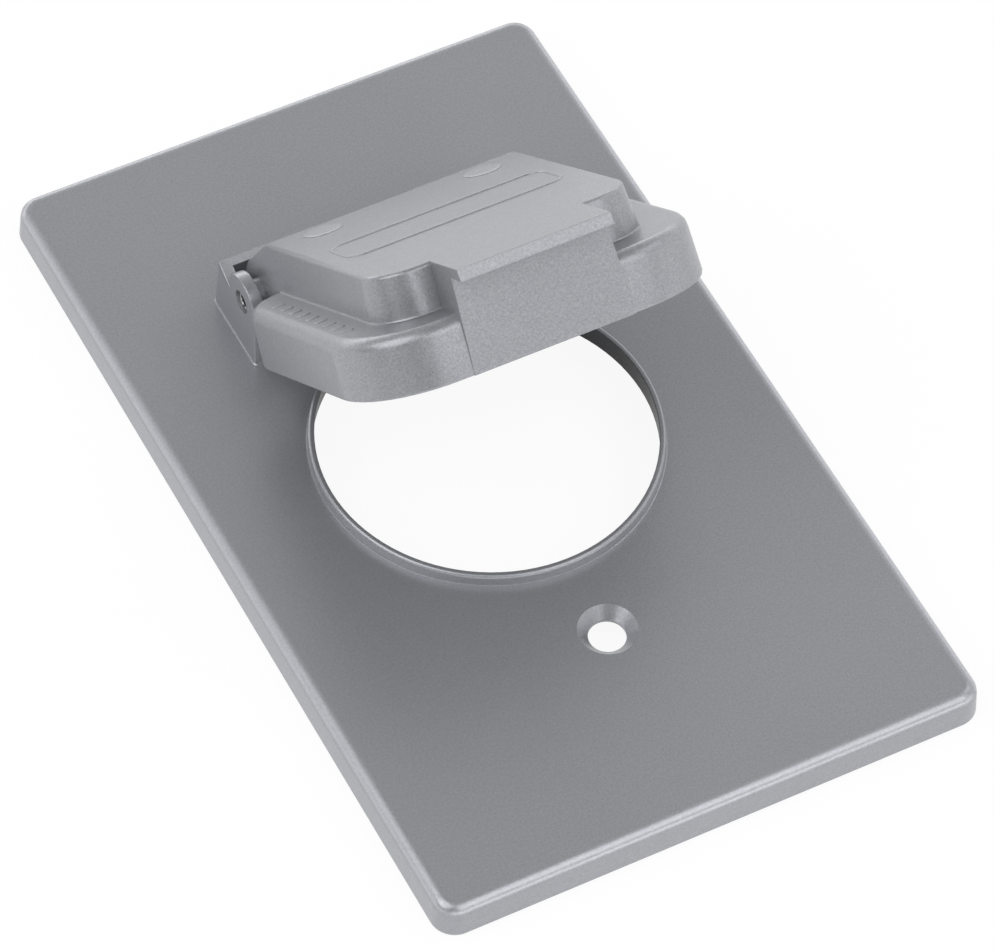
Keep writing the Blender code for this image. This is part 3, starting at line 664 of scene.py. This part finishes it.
class COVER_OT_lid_foam(CoverOperator):
    """Lays the foam in the lid, with the ring that the collar has pressed into it"""

    bl_idname = "outlet_cover.lid_foam"
    bl_label = "Lid foam"

    def execute(self, context):
        foam = context.scene.outlet_cover.foam
        x, s, h = in_lid(node_points("lid_gasket"))
        middle = PIVOT[1]
        bottom = h.min()
        thickness = h.max() - bottom
        back_half = x[s < s.min() + 0.1 * MM].max()
        wing_rear = s[np.abs(x) > back_half + 1 * MM].min()
        front = s.max()

        def outline(across, ahead):
            """The pan's part and the narrower part behind it, whichever reaches further."""
            pan_middle = (front + wing_rear) / 2
            rear_half = (pan_middle - s.min()) / 2
            corner = np.where(ahead + middle > pan_middle, foam.front_corner, foam.rear_corner)
            pan = box_distance(across, ahead + middle - pan_middle, x.max(), (front - wing_rear) / 2, corner)
            behind = ahead + middle - s.min() - rear_half
            rear = box_distance(across, behind, back_half, rear_half, foam.tail_corner)
            return np.minimum(pan, rear)

        angle = np.linspace(0, 2 * math.pi, 289)[:-1]
        edge_at = reach(outline, angle)
        inset, level = sheet_section(thickness, foam.edge, 5)
        grid = np.linspace(0, 1, 61)[:-1]
        lower = grid[:, None] * (edge_at - foam.edge)
        side = edge_at[None, :] - inset[:, None]
        radius = np.concatenate([lower, side, lower[::-1]])
        rim = np.repeat(level[:, None], angle.size, 1)
        height = np.concatenate([np.zeros(lower.shape), rim, np.full(lower.shape, thickness)])
        pressed = foam.imprint * np.exp(-((radius - foam.imprint_radius) / foam.imprint_width) ** 4)
        height = height + np.where(height < thickness / 2, pressed, 0)
        made = surface("lid_foam", from_lid(
            radius * np.cos(angle), middle + radius * np.sin(angle), bottom + height), (False, True))
        dress(made, closed_cell_foam(foam), "flap")
        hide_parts("lid_gasket")
        return {"FINISHED"}


class COVER_OT_plate_foam(CoverOperator):
    """Lays the foam sheet in the plate's hollow back"""

    bl_idname = "outlet_cover.plate_foam"
    bl_label = "Plate foam"

    def execute(self, context):
        foam = context.scene.outlet_cover.foam
        low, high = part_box("plate_gasket")
        angle = np.linspace(0, 2 * math.pi, 721)[:-1]

        def opening(x, y):
            """The round opening and the slot through it, whichever reaches further."""
            slot = box_distance(x, y, foam.slot_width / 2, foam.slot_length / 2, foam.slot_width / 2)
            return np.minimum(np.hypot(x, y) - foam.opening, slot)

        outer_edge = reach(lambda x, y: box_distance(x, y, high.x, high.y, foam.outer_corner), angle)
        inset, level = sheet_section(high.z - low.z, foam.edge, 5)
        outer = outer_edge - inset[:, None]
        inner = reach(opening, angle) + inset[::-1, None]
        radius = np.concatenate([outer, inner])
        height = low.z + np.concatenate([level, level[::-1]])
        made = surface("plate_foam", np.stack(np.broadcast_arrays(
            radius * np.cos(angle), radius * np.sin(angle), height[:, None]), -1))
        dress(made, closed_cell_foam(foam), "base")
        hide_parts("plate_gasket")
        return {"FINISHED"}


class COVER_OT_stage(CoverOperator):
    """Sets up the paper, the lamps, the studio round them and the camera"""

    bl_idname = "outlet_cover.stage"
    bl_label = "Stage"

    AIM = (0.0, 0.0, 0.01)

    def lamp(self, name, place, size, power):
        """A square soft box that looks at the cover."""
        light = bpy.data.lights.new(name, "AREA")
        light.shape = "SQUARE"
        light.size = size
        light.energy = power
        made = bpy.data.objects.new(name, light)
        made.location = place
        away = np.array(place) - self.AIM
        flat = math.hypot(away[0], away[1])
        made.rotation_euler = (math.atan2(flat, away[2]), 0, math.atan2(away[1], away[0]) + math.pi / 2)
        bpy.context.scene.collection.objects.link(made)

    def execute(self, context):
        stage = context.scene.outlet_cover.stage
        half = stage.floor_size / 2
        corner = np.array([-half, half])
        x, y = np.meshgrid(corner, corner)
        floor = surface("floor", np.stack([x, y, np.full_like(x, -stage.floor_drop)], -1), (False, False))
        floor.data.materials.append(backdrop_paper(stage))

        self.lamp("left_box", (-0.707, 0, 0.843), 1.0, stage.left_lamp)
        self.lamp("front_box", (0.242, -0.664, 0.843), 0.8, stage.front_lamp)
        self.lamp("right_box", (0.707, 0, 0.843), 0.5, stage.right_lamp)

        context.scene.world = studio_walls(stage)

        lens = bpy.data.cameras.new("camera")
        lens.sensor_fit = "HORIZONTAL"
        lens.sensor_width = 36.0
        lens.lens = stage.lens
        lens.clip_start = 0.01
        made = bpy.data.objects.new("camera", lens)
        made.location = stage.place
        made.rotation_euler = Euler(stage.turn)
        context.scene.collection.objects.link(made)
        context.scene.camera = made
        context.scene.view_settings.view_transform = "Standard"
        return {"FINISHED"}


PIECES = (COVER_OT_plate, COVER_OT_lid, COVER_OT_pin, COVER_OT_lid_foam, COVER_OT_plate_foam, COVER_OT_stage)


class COVER_PT_sidebar(bpy.types.Panel):
    """The cover's pieces and settings in the sidebar."""

    bl_label = "Outlet Cover"
    bl_idname = "COVER_PT_sidebar"
    bl_space_type = "VIEW_3D"
    bl_region_type = "UI"
    bl_category = "Outlet Cover"

    def draw(self, context):
        settings = context.scene.outlet_cover
        for piece in PIECES:
            self.layout.operator(piece.bl_idname)
        for group in (settings.coat, settings.relief, settings.foam, settings.stage):
            box = self.layout.box()
            for name in group.__annotations__:
                box.prop(group, name)


SETTINGS = (CoatSettings, ReliefSettings, FoamSettings, StageSettings, CoverSettings)
CLASSES = (*SETTINGS, *PIECES, COVER_PT_sidebar)


def register():
    """Makes the settings, operators and panel known."""
    for kind in CLASSES:
        bpy.utils.register_class(kind)
    bpy.types.Scene.outlet_cover = bpy.props.PointerProperty(type=CoverSettings)


def unregister():
    """Takes them out again."""
    del bpy.types.Scene.outlet_cover
    for kind in reversed(CLASSES):
        bpy.utils.unregister_class(kind)


def clear_start_file():
    """Removes what a new file starts with, such as its cube."""
    for thing in set(bpy.data.objects) - {*frame["nodes"].values(), *frame["bodies"].values()}:
        bpy.data.objects.remove(thing)


def main():
    """Builds every piece and the stage."""
    register()
    clear_start_file()
    bpy.ops.outlet_cover.plate()
    bpy.ops.outlet_cover.lid()
    bpy.ops.outlet_cover.pin()
    bpy.ops.outlet_cover.lid_foam()
    bpy.ops.outlet_cover.plate_foam()
    bpy.ops.outlet_cover.stage()


if __name__ == "__main__":
    main()
